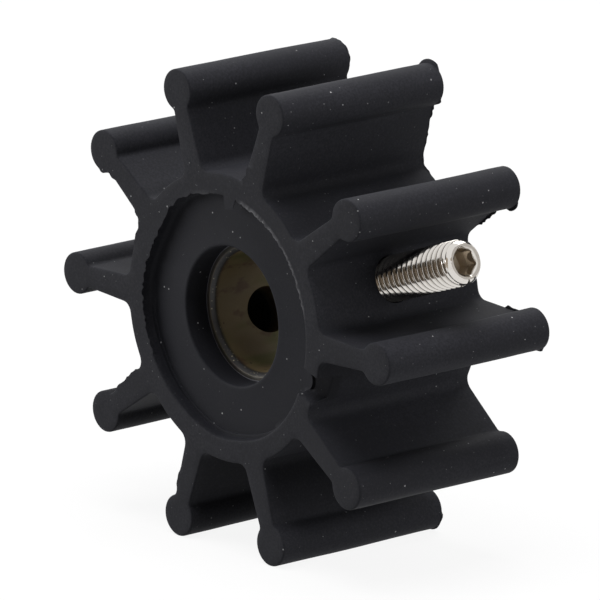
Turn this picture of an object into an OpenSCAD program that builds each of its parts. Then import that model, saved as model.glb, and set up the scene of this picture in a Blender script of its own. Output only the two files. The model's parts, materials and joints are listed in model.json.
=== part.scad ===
// Flexible-vane pump impeller: a moulded rubber wheel, its brass bush and a drive screw.
// Millimetres. The shaft axis lies along Y, the front face looks to -Y, and the wheel
// stands on two of its vanes with +Z up. The origin is in the middle of the shaft bore.

/* [Wheel] */
// Diameter over the beads at the vane tips
tip_d = 65; // [60:0.5:80]
// Width of the wheel along the shaft
wheel_w = 27; // [22:0.5:40]
// Diameter of the hub in the gaps between vanes
hub_d = 38; // [37:0.5:41]
// Number of vanes
vane_count = 10; // [6:2:12]

/* [Vane] */
// Thickness of a vane where it leaves the hub
vane_root_t = 3.7; // [3:0.1:4.6]
// Thickness of a vane just under its bead
vane_neck_t = 2.9; // [2:0.1:3.6]
// Diameter of the round bead along a vane's tip
bead_d = 5.5; // [4.5:0.1:6.5]
// Radius of the fillet between vane and hub
root_fillet_r = 1.5; // [0.5:0.1:2]
// Radius of the fillet between vane and bead
bead_fillet_r = 0.8; // [0.3:0.1:1.5]

/* [Hub faces] */
// Diameter of the shallow recess in each face
recess_d = 32.3; // [30:0.1:34]
// Depth of the shallow recess
recess_depth = 1.7; // [0.8:0.1:3]
// Bore of the rubber lip that laps over each end of the bush
lip_bore_d = 18.2; // [17:0.1:21]
// Distance from each face of the wheel to the end of the bush
bush_inset = 4.8; // [3.5:0.1:7]
// Diameter of the round gate notch in the rim of the front recess
gate_notch_d = 3.8; // [2:0.1:5]

/* [Bush] */
// Shaft bore of the bush
shaft_d = 16; // [12:0.5:16.5]
// Outer diameter of the bush
bush_d = 22; // [21.5:0.5:26]
// Width of the chamfer at each mouth of the shaft bore
bush_chamfer = 0.5; // [0.2:0.1:0.8]

/* [Drive screw] */
// Diameter over the thread
screw_d = 6; // [4:0.5:8]
// Length of the screw
screw_length = 25; // [16:0.5:32]
// Pitch of the thread
thread_pitch = 1; // [0.7:0.05:1.25]
// Width of the chamfer at each end of the screw
screw_chamfer = 0.7; // [0.4:0.1:0.9]
// Size of the hex socket across its flats
socket_af = 3; // [2:0.5:3]
// Depth of the hex socket
socket_depth = 3.5; // [2:0.1:5]
// Width of the countersink around the corners of the socket
socket_countersink = 0.15; // [0.05:0.05:0.2]
// Angle of the screw past the middle of its gap between two vanes
screw_turn = 2; // [-5:0.5:5]
// Angle of the socket's corners about the screw's own axis
socket_turn = 13; // [0:1:59]

/* [Clearances] */
// Radial clearance between the screw and its hole in the bush
bush_hole_clearance = 0.05; // [0.02:0.01:0.1]
// Radial clearance between the screw and its hole in the rubber
rubber_hole_clearance = 0.1; // [0.05:0.05:0.5]
// Distance from the wall of the shaft bore to the screw's inner end, as the wheel is shown
screw_end_clearance = 0.6; // [0:0.1:2]
// Depth in the rubber behind the far hole of the bush, for the screw's inner end
far_pocket_depth = 2; // [0.5:0.5:3]

/* [Hidden] */
$fn = 96;

vane_pitch = 360 / vane_count;
screw_angle = vane_pitch / 2 + screw_turn;
gate_angle = -vane_pitch / 2;

hub_r = hub_d / 2;
bead_r = bead_d / 2;
bead_centre = tip_d / 2 - bead_r;
vane_root_x = hub_r;
vane_neck_x = bead_centre - bead_r;
vane_slope = (vane_neck_t - vane_root_t) / 2 / (vane_neck_x - vane_root_x);
face_z = wheel_w / 2;
bush_length = wheel_w - 2 * bush_inset;

// ISO proportion of thread depth to pitch
thread_depth = 0.6134 * thread_pitch;
// Flat at the crest of each thread, an eighth of the pitch
thread_crest = thread_pitch / 8;
screw_core_r = screw_d / 2 - thread_depth;
screw_inner_end = shaft_d / 2 + screw_end_clearance;
// Plain length kept at each end of the screw, from its face to the first groove
plain_end = screw_chamfer + thread_pitch / 2;
groove_count = floor((screw_length - 2 * plain_end) / thread_pitch);
first_groove = (screw_length - (groove_count - 1) * thread_pitch) / 2;

// Fillet arcs stand this far into their neighbours, so that each joint is a clean crossing
blend = 0.01;
// Vanes start this far inside the hub, and end this far inside their beads
overlap = 1;
// Cuts run this far past the faces that they open
past = 1;

// Half the thickness of a vane at a distance x from the shaft axis
function vane_half(x) = vane_root_t / 2 + vane_slope * (x - vane_root_x);

// Centre of a fillet of radius r that touches one face of the vane and a circle of radius c_r
// centred c_x out along the vane. The side is 1 beyond that circle and -1 before it.
function fillet_centre(c_x, c_r, r, side) =
    let (lift = vane_half(c_x) + r * sqrt(1 + vane_slope * vane_slope),
         a = 1 + vane_slope * vane_slope,
         b = 2 * vane_slope * lift,
         c = lift * lift - (c_r + r) * (c_r + r),
         u = (-b + side * sqrt(b * b - 4 * a * c)) / (2 * a))
    [c_x + u, lift + vane_slope * u];

// Centres of the fillets on the upper face of a vane, at the hub and at the bead
foot = fillet_centre(0, hub_r, root_fillet_r, 1);
neck = fillet_centre(bead_centre, bead_r, bead_fillet_r, -1);

// Point inside a circle on the way from its centre c_x to the centre of its fillet
function inside(c_x, c_r, r, centre) = [c_x, 0] + (c_r - overlap) / (c_r + r) * (centre - [c_x, 0]);

// Upper half of a vane's outline, running through the centres of its fillets
upper = [
    inside(0, hub_r, root_fillet_r, foot),
    foot,
    [foot.x, vane_half(foot.x)],
    [neck.x, vane_half(neck.x)],
    neck,
    inside(bead_centre, bead_r, bead_fillet_r, neck)
];

// One vane along +X: its tapered web, hollowed by the arcs of its four fillets, and its bead
module vane_section() {
    last = len(upper) - 1;
    difference() {
        polygon(concat(upper, [for (i = [last : -1 : 0]) [upper[i].x, -upper[i].y]]));
        for (flip = [0, 1]) mirror([0, flip]) {
            translate(foot) circle(root_fillet_r + blend);
            translate(neck) circle(bead_fillet_r + blend);
        }
    }
    translate([bead_centre, 0]) circle(bead_r);
}

// Hub and vanes as one block, before anything is cut. They are made too long, and then both
// are trimmed to the width of the wheel, so that each end comes out as one flat face.
module wheel_block() {
    intersection() {
        union() {
            cylinder(h = wheel_w + 4 * past, r = hub_r, center = true);
            for (i = [0 : vane_count - 1]) rotate(i * vane_pitch)
                linear_extrude(wheel_w + 2 * past, center = true) vane_section();
        }
        cylinder(h = wheel_w, d = tip_d + 2 * past, center = true);
    }
}

// Lays what is modelled along Z down along the shaft axis, with its top at the front
module along_shaft() {
    rotate([90, 0, 0]) children();
}

// Points what is modelled along Z outward along the drive screw's axis
module along_screw() {
    rotate([0, 90 - screw_angle, 0]) children();
}

// Round hole for the drive screw, from one distance to another along its axis
module screw_hole(from, to, clearance) {
    along_screw() translate([0, 0, from]) cylinder(h = to - from, r = screw_d / 2 + clearance);
}

module rubber_wheel() {
    color([0.13, 0.135, 0.15])
    difference() {
        along_shaft() difference() {
            wheel_block();
            cylinder(h = wheel_w + 2 * past, d = lip_bore_d, center = true);
            cylinder(h = bush_length, d = bush_d, center = true);
            for (side = [0, 1]) mirror([0, 0, side]) {
                translate([0, 0, face_z - recess_depth]) cylinder(h = recess_depth + past, d = recess_d);
            }
            rotate(gate_angle) translate([recess_d / 2, 0, face_z - recess_depth])
                cylinder(h = recess_depth + past, d = gate_notch_d);
        }
        screw_hole(0, tip_d / 2, rubber_hole_clearance);
        screw_hole(-bush_d / 2 - far_pocket_depth, 0, rubber_hole_clearance);
    }
}

module hub_bush() {
    mouth_r = shaft_d / 2 + bush_chamfer;
    color([0.42, 0.36, 0.24])
    difference() {
        along_shaft() difference() {
            cylinder(h = bush_length, d = bush_d, center = true);
            cylinder(h = bush_length + 2 * past, d = shaft_d, center = true);
            for (side = [0, 1]) mirror([0, 0, side]) {
                translate([0, 0, bush_length / 2 - bush_chamfer])
                    cylinder(h = 2 * bush_chamfer, r1 = mouth_r - bush_chamfer, r2 = mouth_r + bush_chamfer);
            }
        }
        screw_hole(-bush_d / 2 - past, bush_d / 2 + past, bush_hole_clearance);
    }
}

// Half outline of the screw from its inner end outward, with one groove for each turn of thread
function screw_outline() = concat(
    [[0, 0], [screw_d / 2 - screw_chamfer, 0], [screw_d / 2, screw_chamfer]],
    [for (i = [0 : groove_count - 1], point = groove_outline(first_groove + i * thread_pitch)) point],
    [[screw_d / 2, screw_length - screw_chamfer], [screw_d / 2 - screw_chamfer, screw_length], [0, screw_length]]
);

// Outline of one groove with its middle at z: down one flank, along the root and up the other
function groove_outline(z) =
    let (mouth = (thread_pitch - thread_crest) / 2, root = thread_crest)
    [[screw_d / 2, z - mouth], [screw_core_r, z - root], [screw_core_r, z + root], [screw_d / 2, z + mouth]];

module drive_screw() {
    socket_r = socket_af / sqrt(3);
    mouth_r = socket_r + socket_countersink;
    color([0.78, 0.77, 0.74])
    along_screw() translate([0, 0, screw_inner_end]) difference() {
        rotate_extrude() polygon(screw_outline());
        translate([0, 0, screw_length - socket_depth]) rotate(socket_turn)
            cylinder(h = socket_depth + past, r = socket_r, $fn = 6);
        translate([0, 0, screw_length - mouth_r]) cylinder(h = mouth_r + past, r1 = 0, r2 = mouth_r + past);
    }
}

rubber_wheel();
hub_bush();
drive_screw();
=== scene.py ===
"""Flexible-vane pump impeller: moulded rubber wheel, stained brass bush and threaded drive screw."""

import json
import math

import bmesh
import bpy
import numpy as np
from bpy.props import FloatProperty, FloatVectorProperty, IntProperty, PointerProperty
from mathutils import Matrix, Vector, geometry, noise


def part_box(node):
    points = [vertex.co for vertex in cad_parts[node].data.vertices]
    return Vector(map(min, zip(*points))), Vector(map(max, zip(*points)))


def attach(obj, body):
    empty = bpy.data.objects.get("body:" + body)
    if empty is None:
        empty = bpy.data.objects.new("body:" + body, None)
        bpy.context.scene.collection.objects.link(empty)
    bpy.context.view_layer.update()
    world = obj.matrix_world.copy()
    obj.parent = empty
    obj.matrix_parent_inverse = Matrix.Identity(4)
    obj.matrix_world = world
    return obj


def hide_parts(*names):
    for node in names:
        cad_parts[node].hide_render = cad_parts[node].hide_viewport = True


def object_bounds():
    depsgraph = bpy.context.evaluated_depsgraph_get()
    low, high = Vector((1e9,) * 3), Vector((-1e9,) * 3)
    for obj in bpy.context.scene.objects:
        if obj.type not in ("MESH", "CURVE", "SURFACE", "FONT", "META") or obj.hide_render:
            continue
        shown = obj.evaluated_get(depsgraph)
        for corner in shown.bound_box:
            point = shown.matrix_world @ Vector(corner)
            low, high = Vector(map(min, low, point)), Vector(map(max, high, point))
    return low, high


bl_info = {
    "name": "Rubber Pump Impeller",
    "version": (1, 0, 0),
    "blender": (4, 5, 0),
    "location": "View3D > Sidebar > Impeller",
    "description": "Builds a flexible-vane pump impeller around its packed frame",
    "category": "Object",
}

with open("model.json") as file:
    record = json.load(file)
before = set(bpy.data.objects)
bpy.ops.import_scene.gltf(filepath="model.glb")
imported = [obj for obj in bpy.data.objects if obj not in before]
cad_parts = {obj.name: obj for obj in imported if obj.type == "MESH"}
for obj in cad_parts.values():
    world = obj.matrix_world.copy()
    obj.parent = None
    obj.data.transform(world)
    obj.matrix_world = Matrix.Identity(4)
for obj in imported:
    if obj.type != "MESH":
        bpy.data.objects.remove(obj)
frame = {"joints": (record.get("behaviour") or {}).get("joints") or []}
CAD_LOW, CAD_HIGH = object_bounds()
WHEEL_LOW, WHEEL_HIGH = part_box("rubber_wheel")
BUSH_LOW, BUSH_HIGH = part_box("hub_bush")
JOINT = next(j for j in frame["joints"] if j["name"] == "screw_travel")
SCREW_AXIS = Vector(JOINT["axis"]).normalized()

MM = 0.001
# How far a cutter runs past what it cuts, and how many sides a round one has
OVERLAP = 1 * MM
ROD_SIDES = 96


def length(name, description, value_mm):
    """A size that a user may change, given here in millimetres and kept in metres."""
    return FloatProperty(name=name, description=description, default=value_mm * MM, unit="LENGTH",
                         precision=5)


def rotation(name, description, value_deg):
    """An angle that a user may change, given here in degrees."""
    return FloatProperty(name=name, description=description, default=math.radians(value_deg), subtype="ANGLE")


def number(name, description, value):
    """A plain number that a user may change."""
    return FloatProperty(name=name, description=description, default=value)


def colour(name, description, value):
    """A colour in linear light."""
    return FloatVectorProperty(name=name, description=description, default=value, size=3, min=0.0, max=1.0,
                               subtype="COLOR")


class WheelSettings(bpy.types.PropertyGroup):
    """Sizes of the moulded rubber wheel."""

    tip_diameter: length("Tip Diameter", "Diameter over the beads at the vane tips", 65.0)
    width: length("Width", "Width of the wheel along the shaft", (WHEEL_HIGH.y - WHEEL_LOW.y) / MM)
    hub_diameter: length("Hub Diameter", "Diameter of the hub in the gaps between vanes", 38.0)
    vane_count: IntProperty(name="Vanes", description="Number of vanes", default=10, min=3)
    root_thickness: length("Root Thickness", "Thickness of a vane where it leaves the hub", 3.7)
    neck_thickness: length("Neck Thickness", "Thickness of a vane just under its bead", 2.9)
    bead_diameter: length("Bead Diameter", "Diameter of the round bead along a vane's tip", 5.5)
    root_fillet: length("Root Fillet", "Radius between vane and hub", 1.5)
    neck_fillet: length("Neck Fillet", "Radius between vane and bead", 0.8)
    recess_diameter: length("Recess Diameter", "Diameter of the shallow recess in each face", 32.3)
    recess_depth: length("Recess Depth", "Depth of the shallow recess", 1.7)
    lip_bore: length("Lip Bore", "Bore of the rubber lip over each end of the bush", 18.2)
    gate_notch: length("Gate Notch", "Diameter of the round gate notch in the rim of the front recess", 3.8)
    edge_round: length("Edge Round", "Rounding of the moulded edges", 0.22)
    grid: length("Grid", "Spacing of the mesh along the outline", 0.4)


class BushSettings(bpy.types.PropertyGroup):
    """Sizes of the brass bush."""

    bore: length("Bore", "Shaft bore of the bush", 16.0)
    diameter: length("Diameter", "Outer diameter of the bush", (BUSH_HIGH.z - BUSH_LOW.z) / MM)
    bush_length: length("Length", "Length of the bush along the shaft", (BUSH_HIGH.y - BUSH_LOW.y) / MM)
    chamfer: length("Chamfer", "Width of the chamfer at each mouth of the bore", 0.5)
    cross_hole: length("Cross Hole", "Diameter of the hole that the drive screw runs in", 6.1)


class ScrewSettings(bpy.types.PropertyGroup):
    """Sizes of the drive screw."""

    diameter: length("Diameter", "Diameter over the thread", 6.0)
    screw_length: length("Length", "Length of the screw", 25.0)
    inner_end: length("Inner End", "Distance from the shaft axis to the screw's inner end", 8.6)
    pitch: length("Pitch", "Pitch of the thread", 1.0)
    chamfer: length("Chamfer", "Width of the chamfer at each end", 0.7)
    socket: length("Socket", "Size of the hex socket across its flats", 3.2)
    socket_depth: length("Socket Depth", "Depth of the hex socket", 3.5)
    socket_turn: rotation("Socket Turn", "Turn of the socket about the screw's axis", 13.0)
    run_out: length("Run-out", "Length over which the thread fades before the outer chamfer", 0.6)


class FinishSettings(bpy.types.PropertyGroup):
    """Colours of the finishes, in linear light."""

    rubber: colour("Rubber", "Charcoal of the rubber", (0.0170, 0.0173, 0.0208))
    rubber_bloom: colour("Bloom", "Paler grey that blooms on handled rubber", (0.035, 0.0354, 0.0415))
    # Painted shade: darker blue-black laid over the rubber inside the recesses and the bore
    rubber_recess_shade: colour("Sheltered Rubber", "Darker blue-black inside the recesses", (0.0125, 0.0129, 0.0165))
    # Torn rubber at the gate, and painted shadow in the cleft at the floor's edge
    rubber_torn_and_shade: colour("Torn Rubber", "Black of freshly torn rubber at the gate", (0.008, 0.008, 0.0095))
    rubber_edge: colour("Rubber Edge", "Grey of scuffed rubber edges", (0.085, 0.086, 0.092))
    feather: colour("Feathered Edge", "Pale grey of the feathered edge round the recess", (0.16, 0.16, 0.17))
    dust: colour("Dust", "White specks of dust", (0.42, 0.42, 0.43))
    brass: colour("Brass", "Dull ochre of the old brass", (0.175, 0.130, 0.066))
    brass_olive: colour("Olive Brass", "Greener patches on the old brass", (0.105, 0.098, 0.032))
    # Dark rubber film on the end faces of the bush, and painted shade that deepens into its cross hole
    grime: colour("Grime", "Dark film at the mouths of the bush and in its cross hole", (0.021, 0.020, 0.021))
    brass_stain: colour("Brass Stain", "Red-brown stains in the bore", (0.085, 0.042, 0.026))
    brass_pit: colour("Brass Pits", "Near black in the pits of the bore", (0.01, 0.009, 0.007))
    brass_bright: colour("Bare Brass", "Rubbed metal at the edges of the bush", (0.30, 0.27, 0.19))
    brass_mouth: colour("Bush Mouth", "Grey film on the chamfers of the bush", (0.025, 0.024, 0.024))
    # Painted highlight: thin pale line on the end of the bush where it meets the rubber lip
    brass_rim_highlight: colour("Bush Rim", "Pale line where the bush meets the rubber lip", (0.15, 0.15, 0.17))
    steel: colour("Steel", "Bright nickel grey of the screw", (0.68, 0.65, 0.61))
    steel_rubbed: colour("Rubbed Steel", "Paler steel on the rubbed crests", (0.86, 0.84, 0.81))
    steel_dirt: colour("Thread Dirt", "Brown film in the grooves of the thread", (0.13, 0.10, 0.07))
    # Painted shade: darker brown inside the hex socket
    steel_socket_shade: colour("Socket", "Brown of the oiled socket", (0.49, 0.425, 0.34))


class StageSettings(bpy.types.PropertyGroup):
    """Camera and light."""

    azimuth: rotation("Azimuth", "Camera's turn round the wheel", 49.6)
    elevation: rotation("Elevation", "Camera's height above the horizon", 14.83)
    distance: length("Distance", "Distance from the camera to the wheel", 1188.9)
    lens: number("Lens", "Focal length in millimetres on a 36 mm sensor", 553.6)
    aim: FloatVectorProperty(name="Aim", description="Point that the camera looks at", size=3,
                             default=(-0.32 * MM, -0.34 * MM, 0.08 * MM), subtype="TRANSLATION")
    front_lamp: number("Front Lamp", "Power of the low lamp in front", 6.4)
    top_lamp: number("Top Lamp", "Power of the lamp overhead", 8.8)
    side_lamp: number("Side Lamp", "Power of the lamp on the right", 4.1)
    back_lamp: number("Back Lamp", "Power of the lamp behind on the left", 2.8)
    sky: number("Sky", "Strength of the even white light", 0.03)


# Small tools for meshes

def into_scene(name, data):
    """New object in the scene that holds a mesh, a lamp or a camera."""
    thing = bpy.data.objects.new(name, data)
    bpy.context.scene.collection.objects.link(thing)
    return thing


def new_piece(name, vertices, faces):
    """Mesh object in the scene from points and faces, with its normals made to point outward."""
    mesh = bpy.data.meshes.new(name)
    mesh.from_pydata([tuple(v) for v in vertices], [], faces)
    mesh.validate()
    build = bmesh.new()
    build.from_mesh(mesh)
    bmesh.ops.remove_doubles(build, verts=build.verts, dist=1e-7)
    bmesh.ops.recalc_face_normals(build, faces=build.faces)
    build.to_mesh(mesh)
    build.free()
    return into_scene(name, mesh)


def soften(piece, angle_deg):
    """Shades a piece smooth, with its creases sharper than the angle kept."""
    piece.data.shade_smooth()
    piece.data.set_sharp_from_angle(angle=math.radians(angle_deg))


def cover(piece, material):
    """Gives a piece one material all over."""
    piece.data.materials.clear()
    piece.data.materials.append(material)


def cut_away(piece, cutter):
    """Takes the cutter's space out of a piece, and removes the cutter."""
    step = piece.modifiers.new("cut", "BOOLEAN")
    step.operation = "DIFFERENCE"
    step.solver = "EXACT"
    step.object = cutter
    bpy.context.view_layer.update()
    depsgraph = bpy.context.evaluated_depsgraph_get()
    result = bpy.data.meshes.new_from_object(piece.evaluated_get(depsgraph))
    piece.modifiers.remove(step)
    old = piece.data
    piece.data = result
    bpy.data.meshes.remove(old)
    bpy.data.objects.remove(cutter)


def bridge(lower, upper):
    """Quads between two rings of vertex numbers of the same length."""
    count = len(lower)
    return [(lower[i], lower[(i + 1) % count], upper[(i + 1) % count], upper[i]) for i in range(count)]


def rod(name, axis, start, end, radius):
    """Closed round rod along an axis through the origin, from one distance to another."""
    turn = Vector((0, 0, 1)).rotation_difference(axis).to_matrix()
    angles = np.linspace(0, 2 * math.pi, ROD_SIDES, endpoint=False)
    vertices = []
    for height in (start, end):
        for a in angles:
            vertices.append(turn @ Vector((radius * math.cos(a), radius * math.sin(a), height)))
    lower, upper = range(ROD_SIDES), range(ROD_SIDES, 2 * ROD_SIDES)
    return new_piece(name, vertices, bridge(lower, upper) + [tuple(lower), tuple(upper)])


def point_values(piece, name):
    """Place or normal of every point of a piece, as rows of three numbers."""
    values = np.empty(len(piece.data.vertices) * 3)
    piece.data.vertices.foreach_get(name, values)
    return values.reshape(-1, 3)


def store(piece, name, values):
    """Keeps a number for each point of a piece under a name, for its material to read."""
    layer = piece.data.attributes.new(name, "FLOAT", "POINT")
    layer.data.foreach_set("value", np.asarray(values, np.float32))


def store_wear(piece, reach):
    """Keeps how far each point stands proud of its neighbours as "wear", from 0 on a flat face to 1
    on an edge that is as sharp as the reach or sharper."""
    mesh = piece.data
    count = len(mesh.vertices)
    place = point_values(piece, "co")
    normal = point_values(piece, "normal")
    pairs = np.empty(len(mesh.edges) * 2, int)
    mesh.edges.foreach_get("vertices", pairs)
    a, b = pairs.reshape(-1, 2).T
    span = place[b] - place[a]
    size = np.maximum(np.linalg.norm(span, axis=1), 1e-9)
    turn = normal[b] - normal[a]
    bend = np.einsum("ij,ij->i", turn, span) / size ** 2
    total = np.bincount(a, bend * size, count) + np.bincount(b, bend * size, count)
    weight = np.bincount(a, size, count) + np.bincount(b, size, count)
    store(piece, "wear", np.clip(total / np.maximum(weight, 1e-12) * reach, 0, 1))


# Outline of the wheel

class Outline:
    """Points round a closed outline with their outward normals and, on the wheel, each point's vane
    and its run, the distance along the outline from the tip of that vane."""

    def __init__(self, point, normal, vane=None, run=None):
        self.point = point
        self.normal = normal
        self.vane = vane
        self.run = run

    def __len__(self):
        return len(self.point)

    def ring(self, offset, y):
        """The outline moved outward by an offset, as points in space at a place along the shaft."""
        moved = self.point + self.normal * np.reshape(offset, (-1, 1))
        return np.column_stack([moved[:, 0], np.broadcast_to(y, len(moved)), moved[:, 1]])


def arc(centre, radius, start, end, step, outward=1):
    """Points and normals along an arc, without its last point."""
    fewest = 6
    count = max(fewest, math.ceil(abs(end - start) * radius / step))
    angles = start + (end - start) * np.arange(count) / count
    ray = np.column_stack([np.cos(angles), np.sin(angles)])
    return np.asarray(centre) + radius * ray, outward * ray


def straight(start, end, normal, step):
    """Points and normals along a straight line, without its last point."""
    start, end = np.asarray(start), np.asarray(end)
    count = max(1, math.ceil(np.linalg.norm(end - start) / step))
    along = np.arange(count)[:, None] / count
    return start + (end - start) * along, np.repeat([normal], count, axis=0)


def joined(stretches):
    """Points and normals of several stretches, one after another."""
    return [np.vstack(rows) for rows in zip(*stretches)]


def flat_turn(angle):
    """Matrix that turns flat points counter-clockwise when it stands behind them in a product."""
    cos, sin = math.cos(angle), math.sin(angle)
    return np.array([[cos, sin], [-sin, cos]])


def round_angle(x, z):
    """Angle round the shaft in degrees, from 0 to 360, counter-clockwise from the right."""
    return np.degrees(np.arctan2(z, x)) % 360


def fillet_centre(w, slope, circle_x, circle_r, radius, side):
    """Centre of a fillet that touches the upper face of a vane and a circle on the vane's middle line.
    The side is 1 beyond that circle and -1 before it."""
    half = w.root_thickness / 2 + slope * (circle_x - w.hub_diameter / 2)
    lift = half + radius * math.hypot(1, slope)
    a = 1 + slope ** 2
    b = 2 * slope * lift
    c = lift ** 2 - (circle_r + radius) ** 2
    along = (-b + side * math.sqrt(b * b - 4 * a * c)) / (2 * a)
    return np.array([circle_x + along, lift + slope * along])


def half_vane(w):
    """Upper half of one vane's outline, from its tip round to the middle of the next gap."""
    hub_r = w.hub_diameter / 2
    bead_r = w.bead_diameter / 2
    bead = np.array([w.tip_diameter / 2 - bead_r, 0.0])
    slope = (w.neck_thickness - w.root_thickness) / 2 / (bead[0] - bead_r - hub_r)
    face = np.array([-slope, 1.0]) / math.hypot(1, slope)
    neck = fillet_centre(w, slope, bead[0], bead_r, w.neck_fillet, -1)
    foot = fillet_centre(w, slope, 0.0, hub_r, w.root_fillet, 1)
    under = math.atan2(-face[1], -face[0])
    to_bead = math.atan2(*(bead - neck)[::-1])
    to_hub = math.atan2(-foot[1], -foot[0])
    stretches = [
        arc(bead, bead_r, 0.0, math.atan2(*(neck - bead)[::-1]), w.grid),
        arc(neck, w.neck_fillet, to_bead, under, w.grid, -1),
        straight(neck - face * w.neck_fillet, foot - face * w.root_fillet, face, w.grid),
        arc(foot, w.root_fillet, under, to_hub, w.grid, -1),
        arc((0, 0), hub_r, math.atan2(foot[1], foot[0]), math.pi / w.vane_count, w.grid),
    ]
    point, normal = joined(stretches)
    middle = math.pi / w.vane_count
    ray = np.array([[math.cos(middle), math.sin(middle)]])
    return np.vstack([point, hub_r * ray]), np.vstack([normal, ray])


def wheel_outline(w):
    """Whole outline of the wheel, counter-clockwise from the vane along +X."""
    point, normal = half_vane(w)
    run = np.concatenate([[0], np.cumsum(np.linalg.norm(np.diff(point, axis=0), axis=1))])
    flip = np.array([1, -1])
    point = np.vstack([(point * flip)[::-1], point[1:-1]])
    normal = np.vstack([(normal * flip)[::-1], normal[1:-1]])
    run = np.concatenate([-run[::-1], run[1:-1]])
    points, normals = [], []
    for i in range(w.vane_count):
        turn = flat_turn(2 * math.pi * i / w.vane_count)
        points.append(point @ turn)
        normals.append(normal @ turn)
    vane = np.repeat(np.arange(w.vane_count), len(point))
    return Outline(np.vstack(points), np.vstack(normals), vane, np.tile(run, w.vane_count))


# Middle of the torn gate, and the round swelling of the floor there: its own angle, the distance of its
# centre from the shaft, and its radius
GATE_ANGLE = math.radians(-18.65)
SWELL_ANGLE = math.radians(-20.9)
SWELL_CENTRE = 15.0 * MM
SWELL_RADIUS = 1.62 * MM


def gate_outline(rim_r):
    """Front recess's rim, which swells out round the gate with a soft corner on each side."""
    corner = 0.6 * MM
    step = 0.2 * MM
    a, b = rim_r + corner, SWELL_RADIUS + corner
    x = (a * a - b * b + SWELL_CENTRE * SWELL_CENTRE) / (2 * SWELL_CENTRE)
    y = math.sqrt(a * a - x * x)
    from_shaft = math.atan2(y, x)
    from_gate = math.atan2(y, x - SWELL_CENTRE)
    stretches = [
        arc((0, 0), rim_r, -math.pi, -from_shaft, step, -1),
        arc((x, -y), corner, math.pi - from_shaft, math.pi - from_gate, step),
        arc((SWELL_CENTRE, 0), SWELL_RADIUS, -from_gate, from_gate, step, -1),
        arc((x, y), corner, from_gate - math.pi, from_shaft - math.pi, step),
        arc((0, 0), rim_r, from_shaft, math.pi, step, -1),
    ]
    point, normal = joined(stretches)
    turn = flat_turn(SWELL_ANGLE)
    return point @ turn, normal @ turn


def recess_outline(w, side):
    """Rim of a recess, counter-clockwise from opposite the gate. Its normals point inward, to the air."""
    rim_r = w.recess_diameter / 2
    point, normal = gate_outline(rim_r)
    if side == 1:
        round_rim = circle_ring(rim_r, 0.0, len(point))[:, [0, 2]]
        return Outline(round_rim, -round_rim / rim_r)
    knots = np.array(TORN_RIM)
    torn = np.interp(round_angle(*point.T), knots[:, 0], knots[:, 1], period=360)
    return Outline(point - normal * torn[:, None] * MM, normal)


def inside(points, loop):
    """Whether each flat point lies inside a closed loop of flat points."""
    x, y = points[:, 0][:, None], points[:, 1][:, None]
    ax, ay = loop[:, 0], loop[:, 1]
    bx, by = np.roll(ax, -1), np.roll(ay, -1)
    spans = (ay > y) != (by > y)
    with np.errstate(divide="ignore", invalid="ignore"):
        cross = x < (bx - ax) * (y - ay) / (by - ay) + ax
    return np.logical_xor.reduce(spans & cross, axis=1)


def cap_faces(outer, inner, spacing, dense):
    """Extra points and triangles that fill the flat face between two loops of points in millimetres.
    Points are numbered outer first, then inner, then extra. The dense points are kept as they are, and
    the rest keep away from every edge by a share of their spacing."""
    clear = 0.55
    low, high = outer.min(0), outer.max(0)
    across = np.arange(low[0], high[0], spacing)
    up = np.arange(low[1], high[1], spacing)
    grid = np.array([(x + spacing / 2 * (j % 2), y) for j, y in enumerate(up) for x in across])
    grid = grid[inside(grid, outer) & ~inside(grid, inner)]
    edge = np.vstack([outer, inner, dense])
    near = np.array([np.min(np.hypot(*(edge - p).T)) for p in grid])
    grid = np.vstack([grid[near > spacing * clear], dense])
    edge = np.vstack([outer, inner])
    points = np.vstack([edge, grid])
    first, second = len(outer), len(inner)
    edges = [(i, (i + 1) % first) for i in range(first)]
    edges += [(first + i, first + (i + 1) % second) for i in range(second)]
    made = geometry.delaunay_2d_cdt([Vector(p) for p in points], edges, [], 0, 1e-6, True)
    source = [ids[0] if ids else None for ids in made[3]]
    flat = np.array([tuple(v) for v in made[0]])
    triangles = np.array([list(f) for f in made[2]])
    middle = flat[triangles].mean(axis=1)
    keep = inside(middle, outer) & ~inside(middle, inner)
    return grid, [tuple(source[i] for i in t) for t in triangles[keep]]


# Rubber wheel

# Torn flash left by the mould along the rims. Each row is the side of the wheel (-1 is the front), the
# vane, the start and the end of the stretch along the outline from that vane's tip, in millimetres, the
# reach of the longest tear, and how ragged it is, from 0 to 1.
RIM_FLASH = [
    (1, 2, -0.9, 4.6, 0.5, 0.25),
    (1, 2, -9.0, -5.2, 0.32, 0.9),
    (1, 2, -17.5, -9.5, 0.14, 0.8),
    (1, 1, -6.2, -3.4, 0.42, 0.5),
    (1, 1, -12.5, -7.2, 0.5, 0.75),
    (1, 0, 6.4, 10.5, 0.55, 0.6),
    (1, 0, -5.0, -2.6, 0.3, 0.6),
    (1, 3, -5.0, 5.0, 0.15, 0.8),
    (1, 8, -2.0, 3.5, 0.2, 0.7),
    (1, 9, -7.0, -3.0, 0.22, 0.8),
    (1, 7, -3.0, 6.0, 0.18, 0.8),
    (1, 5, 2.0, 12.0, 0.25, 0.9),
    (-1, 6, -14.5, -8.5, 0.35, 0.8),
    (-1, 4, 13.5, 19.0, 0.35, 0.8),
    (-1, 4, 5.0, 8.5, 0.25, 0.7),
    (-1, 7, -11.0, -8.0, 0.2, 0.8),
    (-1, 2, 12.0, 16.0, 0.12, 0.8),
]
# Torn flash that hangs over the rims of the recesses: side of the wheel, first and last angle, longest
# tear in millimetres, and how far apart the teeth are in degrees
RECESS_FLASH = [
    (-1, 14, 62, 0.12, 0.8),
    (-1, 54, 82, 0.3, 0.9),
    (-1, 96, 150, 0.3, 1.5),
    (-1, 140, 210, 0.42, 1.2),
    (1, 30, 110, 0.3, 1.7),
    (1, 190, 260, 0.35, 1.7),
]
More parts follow.
